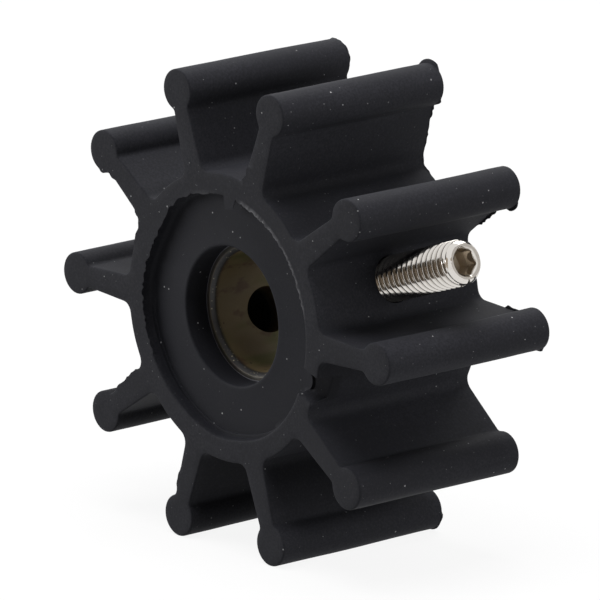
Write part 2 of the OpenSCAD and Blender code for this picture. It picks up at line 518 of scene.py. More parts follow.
# How far the torn rim of the front recess stands out from its circle: angle, and distance in millimetres
TORN_RIM = [
    (95, 0.0), (104, 0.1), (113, 0.42), (122, 0.55), (131, 0.4), (140, 0.0), (148, -0.25), (157, -0.18),
    (165, 0.05), (174, 0.26), (180, 0.2), (188, 0.1), (197, 0.15), (206, 0.0), (217, -0.02), (240, -0.25),
    (252, -0.2), (264, -0.05), (278, -0.2), (300, 0.0),
]
# Strip of flash that hangs into the front recess near the top: its first and last angle, and its reach
TAB_ANGLES = (81.6, 89.3)
TAB_REACH = 1.75 * MM
# Seeds of the teeth along the rims and along the recesses, and distance between the rims' teeth
RIM_SEED = 40
RECESS_SEED = 70
TOOTH_PITCH = 0.42 * MM
# Feathered edge of the front recess: first and last angle, angle over which it fades, and strength
FEATHER = [(10, 80, 6, 1.0), (60, 80, 4, 0.55), (90, 132, 6, 0.2)]
# Thickness of the fins of flash at their roots
FIN_THICKNESS = 0.14 * MM
# Steps of a rounded edge, in degrees
QUARTER_TURN = (0, 30, 60, 90)


def ragged(along, seed, pitch):
    """Uneven teeth from 0 to 1 along a distance, the same each time. Short ones are more common."""
    power = 1.4
    knots = np.arange(along.min() - pitch, along.max() + 2 * pitch, pitch)
    heights = np.random.RandomState(seed).uniform(0.0, 1.0, len(knots)) ** power
    return np.interp(along, knots, heights)


def fade(value, start, end, soft):
    """1 between start and end, falling to 0 over a soft distance inside each."""
    rise = np.clip((value - start) / soft, 0, 1)
    fall = np.clip((end - value) / soft, 0, 1)
    return rise * fall


def rim_flash(outline, side):
    """Reach of the flash at each point of the wheel's outline."""
    soft = 0.5 * MM
    reach = np.zeros(len(outline))
    for row, (where, vane, start, end, longest, rough) in enumerate(RIM_FLASH):
        if where == side:
            teeth = 1 - rough + rough * ragged(outline.run, RIM_SEED + row, TOOTH_PITCH)
            shape = fade(outline.run, start * MM, end * MM, soft) * teeth * longest * MM
            reach = np.where(outline.vane == vane, np.maximum(reach, shape), reach)
    return reach


def recess_flash(outline, side):
    """Reach of the flash at each point of a recess's rim."""
    soft, tab_soft, tab_slant, shortest = 6.0, 0.7, 0.25, 0.1
    angle = round_angle(*outline.point.T)
    reach = np.zeros(len(outline))
    for row, (where, first, last, longest, pitch) in enumerate(RECESS_FLASH):
        if where == side:
            teeth = shortest + (1 - shortest) * ragged(angle, RECESS_SEED + row, pitch)
            reach = np.maximum(reach, fade(angle, first, last, soft) * teeth * longest * MM)
    if side == -1:
        slant = 1 - tab_slant * (TAB_ANGLES[1] - angle) / (TAB_ANGLES[1] - TAB_ANGLES[0])
        reach = np.maximum(reach, fade(angle, *TAB_ANGLES, tab_soft) * TAB_REACH * slant)
    return reach


def edge_rings(outline, flash, round_r, face_y, side):
    """Rings that turn an edge from the flat face to the wall: a round, or a thin fin where there is
    flash. They run from the face to the wall, and a fin takes all of them but the last."""
    full_fin, taper, fin_end = 0.08 * MM, 0.25, 60
    finned = np.clip(flash / full_fin, 0, 1)
    rings = []
    for degrees in QUARTER_TURN:
        turn = math.radians(degrees)
        offset = -round_r * (1 - math.sin(turn))
        depth = round_r * (1 - math.cos(turn))
        if degrees <= fin_end:
            fin_depth = FIN_THICKNESS * degrees / fin_end
            offset = offset * (1 - finned) + flash * (1 - taper * degrees / fin_end)
            depth = depth * (1 - finned) + np.minimum(fin_depth, round_r) * finned
        rings.append(outline.ring(offset, side * (face_y - depth)))
    return rings


def side_rings(outline, w):
    """Rings along the vanes' flanks and beads, from front to back: evenly spaced ones, and one more at
    each end, close to the rounded edge."""
    count = 34
    reach = w.width / 2 - w.edge_round
    inset, close = 0.8 * MM, 0.15 * MM
    places = np.linspace(-reach + inset, reach - inset, count)
    return [outline.ring(0.0, y) for y in (close - reach, *places, reach - close)]


def circle_ring(radius, y, count):
    """Ring of evenly spaced points, starting opposite the gate."""
    a = GATE_ANGLE - math.pi + 2 * math.pi * np.arange(count) / count
    return np.column_stack([radius * np.cos(a), np.full(count, y), radius * np.sin(a)])


# Low ledge along the foot of the front recess's wall: its first and last angle, the angle over which it
# fades, and its section as distance from the wall and height above the floor in millimetres
LEDGE_ANGLES = (172, 315)
LEDGE_SOFT = 20
LEDGE_SECTION = [(0.0, 0.65), (0.03, 0.36), (0.1, 0.22), (0.4, 0.2), (0.5, 0.17), (0.55, 0.0)]
# Steps of the rounded foot in degrees, one for each point of the ledge, and steps over the floor to the
# lip as shares of the way
FOOT_STEPS = (0, 20, 40, 60, 75, 90)
FLOOR_STEPS = (0.08, 0.25, 0.5, 0.75, 0.96)


def hub_rings(w, rim, side, seat_r, seat_y):
    """Rings from the wall of a recess down over its floor and the lip to the seat of the bush. The floor
    rises to a low crown at the lip. The foot and the lip's edge are rounded."""
    floor = w.width / 2 - w.recess_depth
    crown = floor + 0.3 * MM
    lip_r = w.lip_bore / 2
    foot = 0.65 * MM
    small = 0.28 * MM
    count = len(rim)
    ledge = np.zeros(count)
    if side == -1:
        ledge = fade(round_angle(*rim.point.T), *LEDGE_ANGLES, LEDGE_SOFT)
    rings = []
    for degrees, (in_mm, up_mm) in zip(FOOT_STEPS, LEDGE_SECTION):
        turn = math.radians(degrees)
        offset = foot * (1 - math.cos(turn)) * (1 - ledge) + in_mm * MM * ledge
        height = foot * (1 - math.sin(turn)) * (1 - ledge) + up_mm * MM * ledge
        rings.append(rim.ring(offset, side * (floor + height)))
    outer = rim.ring(foot, side * floor)
    inner = circle_ring(lip_r + small, side * crown, count)
    for part in FLOOR_STEPS:
        ring = outer + (inner - outer) * part
        ring[:, 1] = side * (floor + (crown - floor) * part * part)
        rings.append(ring)
    for degrees in QUARTER_TURN:
        turn = math.radians(degrees)
        radius = lip_r + small * (1 - math.sin(turn))
        rings.append(circle_ring(radius, side * (crown - small * (1 - math.cos(turn))), count))
    for radius, above in ((lip_r, 1.2), (lip_r, 0.3), (lip_r, 0.0), (seat_r, 0.0)):
        rings.append(circle_ring(radius, side * (seat_y + above * MM), count))
    return rings


class Rows:
    """Vertices gathered ring by ring, with the faces between them."""

    def __init__(self):
        self.vertices = []
        self.faces = []

    def add(self, ring):
        """Keeps a ring's points and returns their numbers."""
        first = len(self.vertices)
        self.vertices.extend(ring)
        return list(range(first, first + len(ring)))

    def loft(self, rings):
        """Keeps rings, joins them one after another and returns their numbers."""
        numbers = [self.add(ring) for ring in rings]
        for lower, upper in zip(numbers, numbers[1:]):
            self.faces += bridge(lower, upper)
        return numbers

    def cap(self, outer, inner, spacing, dense):
        """Fills the flat face between two rings that are already kept."""
        flat = np.array(self.vertices)[:, [0, 2]] / MM
        grid, triangles = cap_faces(flat[outer], flat[inner], spacing, dense)
        y = self.vertices[outer[0]][1]
        extra = self.add([(p[0] * MM, y, p[1] * MM) for p in grid])
        numbers = outer + inner + extra
        self.faces += [tuple(numbers[i] for i in t) for t in triangles]


# Spacing of the points that fill the flat faces, in millimetres, and the plain border round each recess
FACE_SPACING = 0.9
RECESS_BORDER = 0.5 * MM


def wheel_skin(w, seat_r, seat_y):
    """Closed skin of the rubber wheel before the screw's holes are cut, as vertices and faces."""
    rows = Rows()
    outline = wheel_outline(w)
    face_y = w.width / 2
    front, back = (edge_rings(outline, rim_flash(outline, s), w.edge_round, face_y, s) for s in (-1, 1))
    numbers = rows.loft(front + side_rings(outline, w) + back[::-1])
    seats = []
    for side, outer in ((-1, numbers[0]), (1, numbers[-1])):
        rim = recess_outline(w, side)
        edge = edge_rings(rim, recess_flash(rim, side), w.edge_round, face_y, side)
        border = rim.ring(-RECESS_BORDER, side * face_y)
        inner = rows.loft([border] + edge + hub_rings(w, rim, side, seat_r, seat_y))
        dense = gate_points(w) if side == -1 else np.empty((0, 2))
        rows.cap(outer, inner[0], FACE_SPACING, dense)
        seats.append(inner[-1])
    rows.faces += bridge(*seats)
    return rows.vertices, rows.faces


def gate_points(w):
    """Close points on the front rim round the gate, in millimetres."""
    rim_r, hub_r = w.recess_diameter / 2 / MM, w.hub_diameter / 2 / MM
    half = w.gate_notch / 2 / MM
    shares = np.array([0.2, 0.45, 0.7, 0.86, 0.93, 1.02, 1.3])
    across = half * np.concatenate([-shares[::-1], [0], shares])
    first, last, count = rim_r + 1.15, hub_r - 0.45, 4
    cos, sin = math.cos(GATE_ANGLE), math.sin(GATE_ANGLE)
    points = []
    for out in np.linspace(first, last, count):
        points += [(out * cos - a * sin, out * sin + a * cos) for a in across]
    return np.array(points)


# Waver of the moulded surface: length of the waves and how far they move a point, in millimetres. The
# noise takes its seed from the clock unless it is given one.
WAVES = ((14, 0.09), (3.2, 0.018))
WAVE_SEED = 7


def waver(points):
    """Moves points by a tenth of a millimetre or so, the way moulded rubber is never quite flat."""
    noise.seed_set(WAVE_SEED)
    moved = []
    for p in points:
        place = p.copy()
        for wave, reach in WAVES:
            place += noise.noise_vector(p / (wave * MM)) * reach * MM
        moved.append(place)
    return moved


def gate_place(p, w):
    """Where a point lies from the gate: outward along the gate's ray, across it, and past the rim."""
    cos, sin = math.cos(GATE_ANGLE), math.sin(GATE_ANGLE)
    out = p.x * cos + p.z * sin
    across = p.z * cos - p.x * sin
    swell_x, swell_z = SWELL_CENTRE * math.cos(SWELL_ANGLE), SWELL_CENTRE * math.sin(SWELL_ANGLE)
    past_swell = math.hypot(p.x - swell_x, p.z - swell_z) - SWELL_RADIUS
    return out, across, min(past_swell, math.hypot(p.x, p.z) - w.recess_diameter / 2)


def tear_gate(points, w):
    """Tears away the rim at the gate. The floor ends there in a narrow cleft, and beyond it the torn
    rubber runs on to the outside of the hub, a little below the floor."""
    half = w.gate_notch / 2
    rim_r, hub_r, floor = w.recess_diameter / 2, w.hub_diameter / 2, w.recess_depth
    reach = 9 * MM
    start, hub_edge = rim_r - 0.75 * MM, hub_r - 0.4 * MM
    on_floor, on_wall = -0.03 * MM, w.edge_round + 0.05 * MM
    cleft, cleft_width, fall = 0.4 * MM, 0.2 * MM, 0.4
    soft_above, soft_below = 0.14, 0.4
    for p in points:
        depth = p.y + w.width / 2
        out, across, past = gate_place(p, w)
        beside = abs(across) / half
        if out < start or depth > reach or beside > 1:
            continue
        if past < on_floor:
            torn = max(depth, floor)
        elif past < on_wall:
            torn = floor + cleft * max(0.0, 1 - depth / floor)
        else:
            rest = past - w.edge_round
            torn = floor + rest * fall + cleft * max(0.0, 1 - rest / cleft_width)
        if past > w.edge_round and math.hypot(p.x, p.z) > hub_edge:
            torn += depth * (1 - torn / reach)
        share = min(1.0, (1 - beside) / (soft_above if across > 0 else soft_below))
        if depth < floor or past > w.edge_round:
            p.y += (torn - depth) * share * share * (3 - 2 * share)
    return points


def store_feather(wheel, w):
    """Keeps how pale and feathered the rim of the front recess is as "feather"."""
    breadth, depth = 0.2 * MM, 0.25 * MM
    weakest, seed, pitch = 0.35, 5, 0.9
    place = point_values(wheel, "co")
    radius = np.hypot(place[:, 0], place[:, 2])
    angle = round_angle(place[:, 0], place[:, 2])
    close = np.clip(1.7 - np.abs(radius - w.recess_diameter / 2) / breadth, 0, 1)
    close *= np.clip(1.4 - (place[:, 1] + w.width / 2) / depth, 0, 1)
    patchy = weakest + (1 - weakest) * ragged(angle, seed, pitch)
    around = np.zeros(len(angle))
    for first, last, soft, strength in FEATHER:
        around += strength * fade(angle, first, last, soft)
    store(wheel, "feather", np.clip(close * around * patchy, 0, 1))


def store_torn(wheel, w):
    """Keeps where the rubber is torn at the gate as "torn": full strength in the cleft at the floor's edge,
    where the black is painted shadow, and a little less on the torn face beyond.
    """
    start = w.recess_diameter / 2 - 0.3 * MM
    top, bottom = w.recess_depth + 0.05 * MM, 4 * MM
    cleft, duller = 0.35 * MM, 0.75
    values = []
    for v in wheel.data.vertices:
        out, across, past = gate_place(v.co, w)
        near = out > start and abs(across) < w.gate_notch / 2
        # Painted shadow: the cleft gets the full black, the rest of the torn face a little less
        torn_darkness = 1.0 if past < cleft else duller
        values.append(torn_darkness if near and top < v.co.y + w.width / 2 < bottom else 0.0)
    store(wheel, "torn", values)


def store_shelter(wheel, w):
    """Keeps which points lie inside a recess or the bore as "sheltered". There the rubber is painted darker
    as shade, and gets less fine dust.
    """
    deep = w.width / 2 - 0.5 * MM
    rim_r = w.recess_diameter / 2 + 0.1 * MM
    values = [float(abs(v.co.y) < deep and math.hypot(v.co.x, v.co.z) < rim_r) for v in wheel.data.vertices]
    store(wheel, "sheltered", values)


# Radial clearance of the screw in its hole in the rubber, and depth of the pocket behind the far hole
HOLE_CLEARANCE = 0.1 * MM
POCKET_DEPTH = 2 * MM


class IMPELLER_OT_wheel(bpy.types.Operator):
    """Builds the moulded rubber wheel, with its flash, recesses, gate notch and screw holes"""

    bl_idname = "impeller.wheel"
    bl_label = "Rubber Wheel"

    def execute(self, context):
        w = context.scene.impeller_wheel
        b = context.scene.impeller_bush
        s = context.scene.impeller_screw
        vertices, faces = wheel_skin(w, b.diameter / 2, b.bush_length / 2)
        vertices = waver(tear_gate([Vector(v) for v in vertices], w))
        wheel = new_piece("rubber_wheel_moulding", vertices, faces)
        hole_r = s.diameter / 2 + HOLE_CLEARANCE
        seat_r = b.diameter / 2
        cut_away(wheel, rod("near_hole", SCREW_AXIS, seat_r - OVERLAP, w.tip_diameter / 2, hole_r))
        cut_away(wheel, rod("far_pocket", SCREW_AXIS, -seat_r - POCKET_DEPTH, OVERLAP - seat_r, hole_r))
        soften(wheel, angle_deg=50)
        store_wear(wheel, reach=0.25 * MM)
        store_feather(wheel, w)
        store_torn(wheel, w)
        store_shelter(wheel, w)
        cover(wheel, rubber_material(context.scene.impeller_finish))
        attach(wheel, "wheel")
        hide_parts("rubber_wheel")
        return {"FINISHED"}


# Brass bush

# Radius from which the end of the bush is painted with a pale highlight line, next to the rubber lip
RIM_HIGHLIGHT_RADIUS = 9.02 * MM
# Points round each ring of the bush, and rings along its bore
BUSH_SIDES = 160
BORE_RINGS = 24


def bush_profile(b):
    """Corners of one end of the bush's section, from the bore out, as radius and distance along the
    shaft. Its edges are worn round."""
    half = b.bush_length / 2
    bore_r = b.bore / 2
    mouth_r = bore_r + b.chamfer
    worn = 0.08 * MM
    return [
        (bore_r, half - b.chamfer - worn),
        (bore_r + worn / 3, half - b.chamfer + worn / 3),
        (mouth_r - worn, half - worn * 1.2),
        (mouth_r + worn / 2, half - worn / 6),
        (mouth_r + worn * 2, half),
        (RIM_HIGHLIGHT_RADIUS - 0.07 * MM, half),
        (RIM_HIGHLIGHT_RADIUS, half),
        (b.diameter / 2 - worn, half),
        (b.diameter / 2, half - worn),
    ]


def store_grime_and_shade(bush, b):
    """Keeps where rubber film darkens the end faces of the brass and painted shade deepens into its cross
    hole, as
    "grime", its chamfers as "mouth", and the pale line next to the rubber lip, a painted highlight, as
    "line"."""
    place = point_values(bush, "co")
    radius = np.hypot(place[:, 0], place[:, 2])
    inward = b.bush_length / 2 - np.abs(place[:, 1])
    start, soft = 0.05 * MM, 0.3 * MM
    on_end = inward < 0.03 * MM
    # Painted shade: the walls of the cross hole darken fully within a third of a millimetre of the bore
    hole = (radius - b.bore / 2 - start) / soft
    grime = np.where(on_end, 1.0, np.where(inward < b.chamfer * 1.2, 0.0, hole))
    mouth = np.clip((b.chamfer * 1.6 - inward) / (b.chamfer * 0.6), 0, 1) * ~on_end
    line = on_end & (radius > RIM_HIGHLIGHT_RADIUS - 0.01 * MM)
    for name, values in (("grime", grime), ("mouth", mouth), ("line", line)):
        store(bush, name, np.clip(values, 0, 1))


class IMPELLER_OT_bush(bpy.types.Operator):
    """Builds the brass bush, with its chamfered mouths and the cross hole for the screw"""

    bl_idname = "impeller.bush"
    bl_label = "Brass Bush"

    def execute(self, context):
        b = context.scene.impeller_bush
        profile = bush_profile(b)
        start = profile[0][1]
        loop = [(r, -y) for r, y in profile[::-1]]
        loop += [(b.bore / 2, y) for y in np.linspace(-start, start, BORE_RINGS + 2)[1:-1]]
        loop += profile
        rows = Rows()
        numbers = rows.loft([circle_ring(r, y, BUSH_SIDES) for r, y in loop])
        rows.faces += bridge(numbers[-1], numbers[0])
        bush = new_piece("hub_bush_turned", rows.vertices, rows.faces)
        reach = b.diameter / 2 + OVERLAP
        cut_away(bush, rod("cross_hole", SCREW_AXIS, -reach, reach, b.cross_hole / 2))
        soften(bush, angle_deg=35)
        store_wear(bush, reach=0.2 * MM)
        store_grime_and_shade(bush, b)
        cover(bush, brass_material(context.scene.impeller_finish))
        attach(bush, "wheel")
        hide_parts("hub_bush")
        return {"FINISHED"}


# Drive screw

# Section of half a turn of thread, from the middle of its crest to the middle of its root: place along
# the pitch and depth below the crest, as shares of the pitch and of the thread's depth
THREAD_SECTION = [(0.0, 0.0), (0.045, 0.0), (0.062, 0.02), (0.082, 0.062), (0.1, 0.1), (0.25, 0.5),
                  (0.4, 0.9), (0.418, 0.938), (0.445, 0.98), (0.5, 1.0)]
# Depth of the thread as a share of its pitch
THREAD_SHARE = 0.6134
# Section of a chamfered end: distance from the end and drop below the full radius, as shares of the
# chamfer
END_SECTION = [(0.0, 1.0), (0.5, 0.5), (0.85, 0.25), (1.2, 0.12), (1.7, 0.04), (2.4, 0.0)]
# Where a groove meets an end, the radius drops by the deeper of both and by this share of the other
END_BLEND = 0.3
# Distance from the outer end at which the thread has run out, as a share of the chamfer
RUN_OUT_END = 0.75
# Points round each turn of the thread
THREAD_SIDES = 84


def thread_radius(s, depth_share, along):
    """Radius of the screw at a place along it. The grooves fade out towards the outer end, and both
    ends are chamfered."""
    outer = s.screw_length - along
    kept = np.clip((outer - RUN_OUT_END * s.chamfer) / s.run_out, 0, 1)
    thread = depth_share * THREAD_SHARE * s.pitch * kept * kept * (3 - 2 * kept)
    place, drop = np.array(END_SECTION).T
    end = np.interp(np.minimum(along, outer) / s.chamfer, place, drop) * s.chamfer
    return s.diameter / 2 - np.maximum(thread, end) - np.minimum(thread, end) * END_BLEND


def threaded_rod(s):
    """Closed threaded rod along +Z, its grid twisted so that each row follows the helix. The grid is
    made too long and is cut and closed at both ends."""
    half = np.array(THREAD_SECTION)
    section = np.vstack([half, (half[1:-1] * (-1, 1) + (1, 0))[::-1]])
    before, after = 2, 3
    turns = math.ceil(s.screw_length / s.pitch) + after
    start = np.concatenate([(section[:, 0] + k) * s.pitch for k in range(-before, turns)])
    share_row = np.tile(section[:, 1], turns + before)
    rows = len(start)
    per_turn = len(section)
    build = bmesh.new()
    columns = []
    for j in range(THREAD_SIDES):
        a = 2 * math.pi * j / THREAD_SIDES
        along = start + s.pitch * j / THREAD_SIDES
        radius = thread_radius(s, share_row, np.clip(along, 0, s.screw_length))
        places = [(r * math.cos(a), r * math.sin(a), z) for r, z in zip(radius, along)]
        columns.append([build.verts.new(place) for place in places])
    for j in range(THREAD_SIDES):
        left = columns[j]
        right = columns[(j + 1) % THREAD_SIDES]
        shift = per_turn if j == THREAD_SIDES - 1 else 0
        for k in range(rows - 1 - shift):
            build.faces.new((left[k + shift], right[k], right[k + 1], left[k + 1 + shift]))
    for height, direction in ((0.0, -1), (s.screw_length, 1)):
        everything = build.verts[:] + build.edges[:] + build.faces[:]
        cut = bmesh.ops.bisect_plane(build, geom=everything, plane_co=(0, 0, height),
                                     plane_no=(0, 0, direction), clear_outer=True)
        ends = [e for e in cut["geom_cut"] if isinstance(e, bmesh.types.BMEdge)]
        bmesh.ops.contextual_create(build, geom=ends)
    bmesh.ops.recalc_face_normals(build, faces=build.faces)
    mesh = bpy.data.meshes.new("drive_screw_threaded")
    build.to_mesh(mesh)
    build.free()
    return into_scene("drive_screw_threaded", mesh)


def hex_loop(s, radius_share, rounding, count):
    """Points round a hexagon with softened corners. A rounding of 1 gives a circle."""
    points = []
    for i in range(count):
        a = 2 * math.pi * i / count
        sector = (a + math.pi / 6) % (math.pi / 3) - math.pi / 6
        flat = s.socket / 2 / math.cos(math.pi / 6 - abs(sector))
        round_r = s.socket / math.sqrt(3)
        radius = (flat * (1 - rounding) + round_r * rounding) * radius_share
        points.append((radius * math.cos(a), radius * math.sin(a)))
    return np.array(points)


def socket_cutter(s):
    """Hex socket with a drilled point at its bottom and a countersunk mouth, along +Z."""
    top = s.screw_length
    bottom = top - s.socket_depth
    corner_r = s.socket / math.sqrt(3)
    drill_r = s.socket * 0.46
    sink = 0.26 * MM
    count = 72
    # Height, size as a share of the hexagon, and rounding of each ring
    levels = [
        (top + OVERLAP, 1.0 + (OVERLAP + sink) / corner_r, 1.0),
        (top - sink, 1.0, 0.55),
        (top - sink * 1.9, 1.0, 0.03),
        (bottom, 1.0, 0.03),
        (bottom - 0.12 * MM, drill_r / corner_r, 1.0),
        (bottom - 0.75 * MM, 0.12, 1.0),
    ]
    rows = Rows()
    rings = []
    for height, size, rounding in levels:
        flat = hex_loop(s, size, rounding, count)
        rings.append(np.column_stack([flat, np.full(count, height)]))
    numbers = rows.loft(rings)
    rows.faces += [tuple(numbers[0]), tuple(numbers[-1])]
    cutter = new_piece("socket_cutter", rows.vertices, rows.faces)
    cutter.data.transform(Matrix.Rotation(s.socket_turn, 4, "Z"))
    return cutter


def store_depth(piece, s):
    """Keeps how deep each point lies below the crest of the thread as "depth", with the flat ends dull
    like the grooves, and what lies inside the socket, which is painted darker brown as shade, as "socket"."""
    end_depth, mouth, socket_r = 0.88, 2 * MM, s.socket * 0.6
    depth, socket = [], []
    for v in piece.data.vertices:
        radius = math.hypot(v.co.x, v.co.y)
        from_end = min(v.co.z, s.screw_length - v.co.z)
        deep = (s.diameter / 2 - radius) / (THREAD_SHARE * s.pitch)
        deep *= min(1.0, max(0.0, (from_end - s.chamfer) / s.run_out))
        if from_end < 0.02 * MM:
            deep = end_depth
        depth.append(min(1.2, max(0.0, deep)))
        socket.append(float(s.screw_length - v.co.z > mouth and radius < socket_r))
    store(piece, "depth", depth)
    store(piece, "socket", socket)


class IMPELLER_OT_screw(bpy.types.Operator):
    """Builds the drive screw, with its thread cut as a true helix and its hex socket"""

    bl_idname = "impeller.screw"
    bl_label = "Drive Screw"

    def execute(self, context):
        s = context.scene.impeller_screw
        screw = threaded_rod(s)
        cut_away(screw, socket_cutter(s))
        store_depth(screw, s)
        soften(screw, angle_deg=32)
        turn = Vector((0, 0, 1)).rotation_difference(SCREW_AXIS).to_matrix().to_4x4()
        screw.data.transform(Matrix.Translation(SCREW_AXIS * s.inner_end) @ turn)
        store_wear(screw, reach=0.12 * MM)
        cover(screw, steel_material(context.scene.impeller_finish))
        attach(screw, "screw")
        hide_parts("drive_screw")
        return {"FINISHED"}


# Materials

class NodeSheet:
    """Short ways to add and join nodes in one tree."""

    def __init__(self, tree):
        self.tree = tree

    def add(self, kind, **values):
        """A node, with each named value set on the node or on its input of that name."""
        node = self.tree.nodes.new(kind)
        for name, value in values.items():
            if hasattr(node, name):
                setattr(node, name, value)
            else:
                self.put(node, name.replace("_", " "), value)
        return node

    def put(self, node, socket, value):
        """Sets an input to a value, or joins it to an output."""
        target = node.inputs[socket]
        if isinstance(value, bpy.types.NodeSocket):
            self.tree.links.new(value, target)
        else:
            target.default_value = value

    def math(self, operation, first, second=0.0, clamp=False):
        """Output of a sum on two numbers."""
        node = self.tree.nodes.new("ShaderNodeMath")
        node.operation = operation
        node.use_clamp = clamp
        self.put(node, 0, first)
        self.put(node, 1, second)
        return node.outputs[0]

    def scaled(self, value, factor, plus):
        """Output of a number times a factor, plus another number."""
        node = self.add("ShaderNodeMath", operation="MULTIPLY_ADD")
        for socket, given in enumerate((value, factor, plus)):
            self.put(node, socket, given)
        return node.outputs[0]

    def stored(self, name):
        """Output of a number that is kept on the points of the piece."""
        return self.add("ShaderNodeAttribute", attribute_name=name).outputs["Fac"]

    def mix(self, share_of_second, first, second):
        """Output of a mix of two colours."""
        node = self.tree.nodes.new("ShaderNodeMix")
        node.data_type = "RGBA"
        self.put(node, 0, share_of_second)
        for socket, value in ((6, first), (7, second)):
            whole = value if isinstance(value, bpy.types.NodeSocket) else (*value, 1.0)
            self.put(node, socket, whole)
        return node.outputs[2]

    def laid(self, base, mask, share, top):
        """Output of a base colour with a top one laid over it, as far as a mask times a share."""
        return self.mix(self.math("MULTIPLY", mask, share), base, top)

    def ramp(self, value, start, end):
        """Output that goes from 0 at start to 1 at end, smoothly."""
        node = self.tree.nodes.new("ShaderNodeMapRange")
        node.interpolation_type = "SMOOTHSTEP"
        self.put(node, "Value", value)
        self.put(node, "From Min", start)
        self.put(node, "From Max", end)
        return node.outputs["Result"]

    def place(self, stretch=(1, 1, 1)):
        """Place on the piece in metres, stretched along the axes."""
        where = self.tree.nodes.new("ShaderNodeTexCoord")
        node = self.add("ShaderNodeMapping")
        self.put(node, "Vector", where.outputs["Object"])
        self.put(node, "Scale", stretch)
        return node.outputs["Vector"]

    def noise(self, where, scale, detail, roughness):
        """Output of a noise texture."""
        node = self.tree.nodes.new("ShaderNodeTexNoise")
        self.put(node, "Vector", where)
        self.put(node, "Scale", scale)
        self.put(node, "Detail", detail)
        self.put(node, "Roughness", roughness)
        return node.outputs["Fac"]


def group_sheet(name, inputs, outputs):
    """New shader node group with named number inputs and outputs, as its tree, sheet and end nodes."""
    tree = bpy.data.node_groups.new(name, "ShaderNodeTree")
    for label, value in inputs.items():
        socket = tree.interface.new_socket(label, in_out="INPUT", socket_type="NodeSocketFloat")
        socket.default_value = value
    for label in outputs:
        tree.interface.new_socket(label, in_out="OUTPUT", socket_type="NodeSocketFloat")
    return tree, NodeSheet(tree), tree.nodes.new("NodeGroupInput"), tree.nodes.new("NodeGroupOutput")


def dust_group(name):
    """Scattered specks of dust, as a mask. Spacing and size are in metres."""
    inputs = {"Spacing": 3.0 * MM, "Size": 0.16 * MM, "Kept": 0.5}
    tree, sheet, start, end = group_sheet(name, inputs, ["Mask"])
    scale = sheet.math("DIVIDE", 1.0, start.outputs["Spacing"])
    cells = sheet.add("ShaderNodeTexVoronoi")
    sheet.put(cells, "Vector", sheet.place())
    sheet.put(cells, "Scale", scale)
    split = sheet.add("ShaderNodeSeparateColor")
    sheet.put(split, "Color", cells.outputs["Color"])
    away = sheet.math("MULTIPLY", cells.outputs["Distance"], start.outputs["Spacing"])
    size = sheet.math("MULTIPLY", start.outputs["Size"], sheet.scaled(split.outputs["Green"], 0.9, 0.45))
    near = sheet.math("DIVIDE", away, size)
    dot = sheet.ramp(near, 1.0, 0.55)
    kept = sheet.math("LESS_THAN", split.outputs["Red"], start.outputs["Kept"])
    strength = sheet.ramp(split.outputs["Blue"], -0.3, 1.0)
    sheet.put(end, "Mask", sheet.math("MULTIPLY", sheet.math("MULTIPLY", dot, kept), strength))
    return tree


def wear_group(name):
    """Scuffed edges, as a mask broken up by noise, from the piece's own "wear"."""
    inputs = {"Start": 0.3, "End": 0.8, "Patchiness": 0.5, "Patch Scale": 600.0}
    tree, sheet, start, end = group_sheet(name, inputs, ["Mask"])
    patch = sheet.noise(sheet.place(), start.outputs["Patch Scale"], 4.0, 0.6)
    spread = sheet.math("MULTIPLY", sheet.math("SUBTRACT", patch, 0.5), start.outputs["Patchiness"])
    broken = sheet.math("ADD", sheet.stored("wear"), spread)
    sheet.put(end, "Mask", sheet.ramp(broken, start.outputs["Start"], start.outputs["End"]))
    return tree


def grain_group(name):
    """Fine grain and broad mottle of a surface, each from 0 to 1."""
    inputs = {"Grain Scale": 2500.0, "Mottle Scale": 120.0}
    tree, sheet, start, end = group_sheet(name, inputs, ["Grain", "Mottle"])
    grain = sheet.noise(sheet.place(), start.outputs["Grain Scale"], 3.0, 0.6)
    mottle = sheet.noise(sheet.place((1.0, 0.45, 1.0)), start.outputs["Mottle Scale"], 5.0, 0.55)
    sheet.put(end, "Grain", grain)
    sheet.put(end, "Mottle", mottle)
    return tree


GROUPS = {"Dust Specks": dust_group, "Edge Wear": wear_group, "Surface Grain": grain_group}


def placed(sheet, group, **values):
    """A shared group placed in a material with its own values. It is made when it is first needed."""
    node = sheet.tree.nodes.new("ShaderNodeGroup")
    node.node_tree = bpy.data.node_groups.get(group) or GROUPS[group](group)
    for name, value in values.items():
        sheet.put(node, name.replace("_", " "), value)
    return node.outputs


def new_material(name):
    """Empty material with its sheet and its shader."""
    material = bpy.data.materials.new(name)
    material.use_nodes = True
    tree = material.node_tree
    return material, NodeSheet(tree), tree.nodes["Principled BSDF"]


def bump(sheet, shader, height, distance, strength):
    """Feeds a height to the shader's normal."""
    node = sheet.add("ShaderNodeBump", Strength=strength, Distance=distance)
    sheet.put(node, "Height", height)
    sheet.put(shader, "Normal", node.outputs["Normal"])


